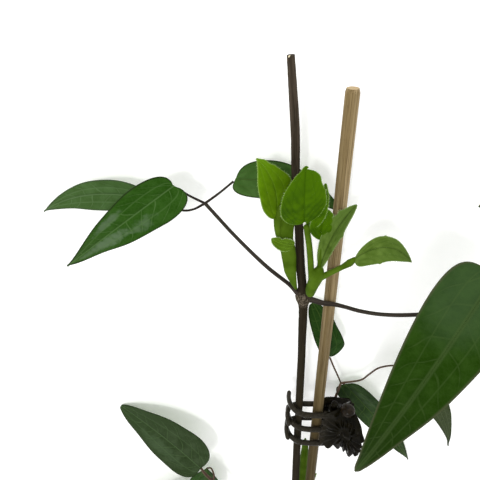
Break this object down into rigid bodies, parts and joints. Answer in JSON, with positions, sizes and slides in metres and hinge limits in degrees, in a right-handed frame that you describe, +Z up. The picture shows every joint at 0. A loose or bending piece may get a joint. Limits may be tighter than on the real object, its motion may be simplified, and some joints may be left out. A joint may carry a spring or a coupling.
{
  "type": "evergreen climber cutting on a bamboo cane with a claw clip",
  "caption": "Cut top of an evergreen climbing vine with leathery three-part leaves and bright young shoots, held to a bamboo cane by a dark claw clip that opens.",
  "frame": {"origin": "centre of the bounding box at its lowest point, on the table", "axes": "+X across the cane to the right of the picture, +Y up along the cane, +Z up from the table"},
  "size_m": [0.2732, 0.3306, 0.0865],
  "materials": {
    "bark": "finely ridged dark brown bark",
    "cane": "satin split cane with lengthwise streaks",
    "leaf": "glossy leathery leaf",
    "leaf_pale": "satin leathery leaf",
    "young_leaf": "soft young leaf with fine pale hairs",
    "clip_plastic": "glossy dark brown",
    "spring_steel": "drawn wire"
  },
  "bodies": {
    "cutting": {"woody_stem": "bark", "bamboo_cane": "cane", "leaf_left_front": "leaf", "leaf_left_back": "leaf_pale", "leaf_left_third": "leaf", "leaf_right_big": "leaf", "leaf_right_end": "leaf", "leaf_right_up": "leaf", "leaf_low_left_up": "leaf_pale", "leaf_low_left_end": "leaf", "leaf_low_left_down": "leaf", "leaf_low_right_up": "leaf", "leaf_low_right_middle": "leaf", "leaf_low_right_end": "leaf_pale", "left_young_shoot": "young_leaf", "right_young_shoot": "young_leaf", "lower_young_shoot": "young_leaf", "clip_back_jaw": "clip_plastic", "clip_pin": "clip_plastic", "clip_spring": "spring_steel"},
    "front_jaw": {"clip_front_jaw": "clip_plastic"}
  },
  "joints": [
    {"name": "clip_hinge", "type": "hinge", "parent": "cutting", "child": "front_jaw", "pos_m": [0.01322, -0.03551, 0.028], "axis": [0, 1, 0], "range_deg": [0, 40], "stiffness_Nm_per_rad": 0.02, "springref_deg": -22.92, "deforming": ["clip_spring"]}
  ]
}
